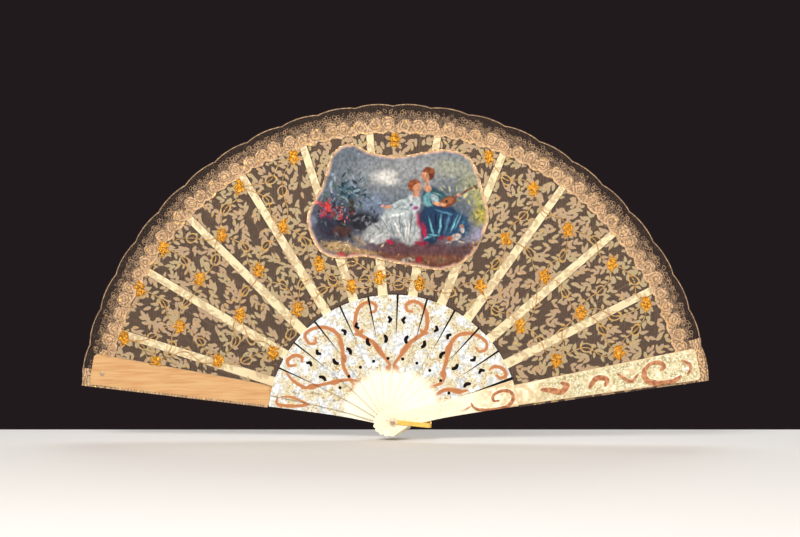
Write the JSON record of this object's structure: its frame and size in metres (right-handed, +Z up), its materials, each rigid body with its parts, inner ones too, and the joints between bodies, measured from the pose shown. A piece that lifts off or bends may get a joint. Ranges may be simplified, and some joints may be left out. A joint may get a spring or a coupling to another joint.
{
  "type": "folding hand fan",
  "caption": "Folding hand fan: pierced sticks and carved guards on one rivet, with a pleated lace leaf and a painted medallion, held by its head.",
  "frame": {"origin": "on the rivet's axis, half way through the pile of sticks, at the head that a hand holds", "axes": "+Z up the middle of the open fan, +X towards the front guard, -Y towards the viewer of the painted side"},
  "size_m": [0.4398, 0.0266, 0.2327],
  "materials": {
    "ivory": "polished ivory-coloured sticks and guards, painted and gilt",
    "lace": "fine net with cream lace and gold glitter",
    "painted_silk": "matte painted silk",
    "brass": "gilt, polished",
    "silver": "polished silver-coloured",
    "pearl": "pearly washers"
  },
  "bodies": {
    "front_guard": {"front_guard": "ivory", "leaf_pleat_00": "lace", "front_tip_stud": "silver"},
    "stick_01": {"stick_01": "ivory", "leaf_pleat_01": "lace"},
    "stick_02": {"stick_02": "ivory", "leaf_pleat_02": "lace"},
    "stick_03": {"stick_03": "ivory", "leaf_pleat_03": "lace"},
    "stick_04": {"stick_04": "ivory", "leaf_pleat_04": "lace", "medallion_01": "painted_silk"},
    "stick_05": {"stick_05": "ivory", "leaf_pleat_05": "lace", "medallion_03": "painted_silk"},
    "stick_06": {"stick_06": "ivory", "leaf_pleat_06": "lace", "rivet_pin": "brass", "front_washer": "pearl", "back_washer": "pearl", "medallion_05": "painted_silk"},
    "stick_07": {"stick_07": "ivory", "leaf_pleat_07": "lace", "medallion_07": "painted_silk"},
    "stick_08": {"stick_08": "ivory", "leaf_pleat_08": "lace"},
    "stick_09": {"stick_09": "ivory", "leaf_pleat_09": "lace"},
    "stick_10": {"stick_10": "ivory", "leaf_pleat_10": "lace"},
    "stick_11": {"stick_11": "ivory", "leaf_pleat_11": "lace"},
    "back_guard": {"back_guard": "ivory", "leaf_pleat_12": "lace", "back_tip_stud": "silver"},
    "leaf_fold_01": {"leaf_fold_01": "lace"},
    "leaf_fold_02": {"leaf_fold_02": "lace"},
    "leaf_fold_03": {"leaf_fold_03": "lace"},
    "leaf_fold_04": {"leaf_fold_04": "lace"},
    "leaf_fold_05": {"leaf_fold_05": "lace", "medallion_02": "painted_silk"},
    "leaf_fold_06": {"leaf_fold_06": "lace", "medallion_04": "painted_silk"},
    "leaf_fold_07": {"leaf_fold_07": "lace", "medallion_06": "painted_silk"},
    "leaf_fold_08": {"leaf_fold_08": "lace"},
    "leaf_fold_09": {"leaf_fold_09": "lace"},
    "leaf_fold_10": {"leaf_fold_10": "lace"},
    "leaf_fold_11": {"leaf_fold_11": "lace"},
    "leaf_fold_12": {"leaf_fold_12": "lace"},
    "rivet_loop": {"rivet_loop": "brass"}
  },
  "joints": [
    {"name": "front_guard_turn", "type": "hinge", "parent": "stick_06", "child": "front_guard", "pos_m": [0, 0, 0], "axis": [0, -1, 0], "range_deg": [0, 83.25]},
    {"name": "stick_01_turn", "type": "hinge", "parent": "stick_06", "child": "stick_01", "pos_m": [0, 0, 0], "axis": [0, -1, 0], "range_deg": [0, 67.76]},
    {"name": "stick_02_turn", "type": "hinge", "parent": "stick_06", "child": "stick_02", "pos_m": [0, 0, 0], "axis": [0, -1, 0], "range_deg": [0, 54.21]},
    {"name": "stick_03_turn", "type": "hinge", "parent": "stick_06", "child": "stick_03", "pos_m": [0, 0, 0], "axis": [0, -1, 0], "range_deg": [0, 40.66]},
    {"name": "stick_04_turn", "type": "hinge", "parent": "stick_06", "child": "stick_04", "pos_m": [0, 0, 0], "axis": [0, -1, 0], "range_deg": [0, 27.11]},
    {"name": "stick_05_turn", "type": "hinge", "parent": "stick_06", "child": "stick_05", "pos_m": [0, 0, 0], "axis": [0, -1, 0], "range_deg": [0, 13.56]},
    {"name": "stick_07_turn", "type": "hinge", "parent": "stick_06", "child": "stick_07", "pos_m": [0, 0, 0], "axis": [0, 1, 0], "range_deg": [0, 13.56]},
    {"name": "stick_08_turn", "type": "hinge", "parent": "stick_06", "child": "stick_08", "pos_m": [0, 0, 0], "axis": [0, 1, 0], "range_deg": [0, 27.11]},
    {"name": "stick_09_turn", "type": "hinge", "parent": "stick_06", "child": "stick_09", "pos_m": [0, 0, 0], "axis": [0, 1, 0], "range_deg": [0, 40.66]},
    {"name": "stick_10_turn", "type": "hinge", "parent": "stick_06", "child": "stick_10", "pos_m": [0, 0, 0], "axis": [0, 1, 0], "range_deg": [0, 54.21]},
    {"name": "stick_11_turn", "type": "hinge", "parent": "stick_06", "child": "stick_11", "pos_m": [0, 0, 0], "axis": [0, 1, 0], "range_deg": [0, 67.76]},
    {"name": "back_guard_turn", "type": "hinge", "parent": "stick_06", "child": "back_guard", "pos_m": [0, 0, 0], "axis": [0, 1, 0], "range_deg": [0, 75.16]},
    {"name": "leaf_fold_01_turn", "type": "hinge", "parent": "stick_06", "child": "leaf_fold_01", "pos_m": [0, 0, 0], "axis": [0, -1, 0], "range_deg": [0, 75.51]},
    {"name": "leaf_fold_02_turn", "type": "hinge", "parent": "stick_06", "child": "leaf_fold_02", "pos_m": [0, 0, 0], "axis": [0, -1, 0], "range_deg": [0, 60.98]},
    {"name": "leaf_fold_03_turn", "type": "hinge", "parent": "stick_06", "child": "leaf_fold_03", "pos_m": [0, 0, 0], "axis": [0, -1, 0], "range_deg": [0, 47.44]},
    {"name": "leaf_fold_04_turn", "type": "hinge", "parent": "stick_06", "child": "leaf_fold_04", "pos_m": [0, 0, 0], "axis": [0, -1, 0], "range_deg": [0, 33.88]},
    {"name": "leaf_fold_05_turn", "type": "hinge", "parent": "stick_06", "child": "leaf_fold_05", "pos_m": [0, 0, 0], "axis": [0, -1, 0], "range_deg": [0, 20.34]},
    {"name": "leaf_fold_06_turn", "type": "hinge", "parent": "stick_06", "child": "leaf_fold_06", "pos_m": [0, 0, 0], "axis": [0, -1, 0], "range_deg": [0, 6.79]},
    {"name": "leaf_fold_07_turn", "type": "hinge", "parent": "stick_06", "child": "leaf_fold_07", "pos_m": [0, 0, 0], "axis": [0, 1, 0], "range_deg": [0, 6.79]},
    {"name": "leaf_fold_08_turn", "type": "hinge", "parent": "stick_06", "child": "leaf_fold_08", "pos_m": [0, 0, 0], "axis": [0, 1, 0], "range_deg": [0, 20.34]},
    {"name": "leaf_fold_09_turn", "type": "hinge", "parent": "stick_06", "child": "leaf_fold_09", "pos_m": [0, 0, 0], "axis": [0, 1, 0], "range_deg": [0, 33.88]},
    {"name": "leaf_fold_10_turn", "type": "hinge", "parent": "stick_06", "child": "leaf_fold_10", "pos_m": [0, 0, 0], "axis": [0, 1, 0], "range_deg": [0, 47.44]},
    {"name": "leaf_fold_11_turn", "type": "hinge", "parent": "stick_06", "child": "leaf_fold_11", "pos_m": [0, 0, 0], "axis": [0, 1, 0], "range_deg": [0, 60.98]},
    {"name": "leaf_fold_12_turn", "type": "hinge", "parent": "stick_06", "child": "leaf_fold_12", "pos_m": [0, 0, 0], "axis": [0, 1, 0], "range_deg": [0, 71.46]},
    {"name": "rivet_loop_swing", "type": "hinge", "parent": "stick_06", "child": "rivet_loop", "pos_m": [0, 0, 0], "axis": [0, 1, 0], "range_deg": [0, 160]}
  ],
  "couplings": [
    {"joint": "stick_01_turn", "follows": "front_guard_turn", "ratio": 0.81381},
    {"joint": "stick_02_turn", "follows": "front_guard_turn", "ratio": 0.65105},
    {"joint": "stick_03_turn", "follows": "front_guard_turn", "ratio": 0.48829},
    {"joint": "stick_04_turn", "follows": "front_guard_turn", "ratio": 0.32553},
    {"joint": "stick_05_turn", "follows": "front_guard_turn", "ratio": 0.16276},
    {"joint": "stick_07_turn", "follows": "front_guard_turn", "ratio": 0.16276},
    {"joint": "stick_08_turn", "follows": "front_guard_turn", "ratio": 0.32553},
    {"joint": "stick_09_turn", "follows": "front_guard_turn", "ratio": 0.48829},
    {"joint": "stick_10_turn", "follows": "front_guard_turn", "ratio": 0.65105},
    {"joint": "stick_11_turn", "follows": "front_guard_turn", "ratio": 0.81381},
    {"joint": "back_guard_turn", "follows": "front_guard_turn", "ratio": 0.9027},
    {"joint": "leaf_fold_01_turn", "follows": "front_guard_turn", "ratio": 0.90691},
    {"joint": "leaf_fold_02_turn", "follows": "front_guard_turn", "ratio": 0.73243},
    {"joint": "leaf_fold_03_turn", "follows": "front_guard_turn", "ratio": 0.56967},
    {"joint": "leaf_fold_04_turn", "follows": "front_guard_turn", "ratio": 0.40691},
    {"joint": "leaf_fold_05_turn", "follows": "front_guard_turn", "ratio": 0.24414},
    {"joint": "leaf_fold_06_turn", "follows": "front_guard_turn", "ratio": 0.081381},
    {"joint": "leaf_fold_07_turn", "follows": "front_guard_turn", "ratio": 0.081381},
    {"joint": "leaf_fold_08_turn", "follows": "front_guard_turn", "ratio": 0.24414},
    {"joint": "leaf_fold_09_turn", "follows": "front_guard_turn", "ratio": 0.40691},
    {"joint": "leaf_fold_10_turn", "follows": "front_guard_turn", "ratio": 0.56967},
    {"joint": "leaf_fold_11_turn", "follows": "front_guard_turn", "ratio": 0.73243},
    {"joint": "leaf_fold_12_turn", "follows": "front_guard_turn", "ratio": 0.85826}
  ]
}
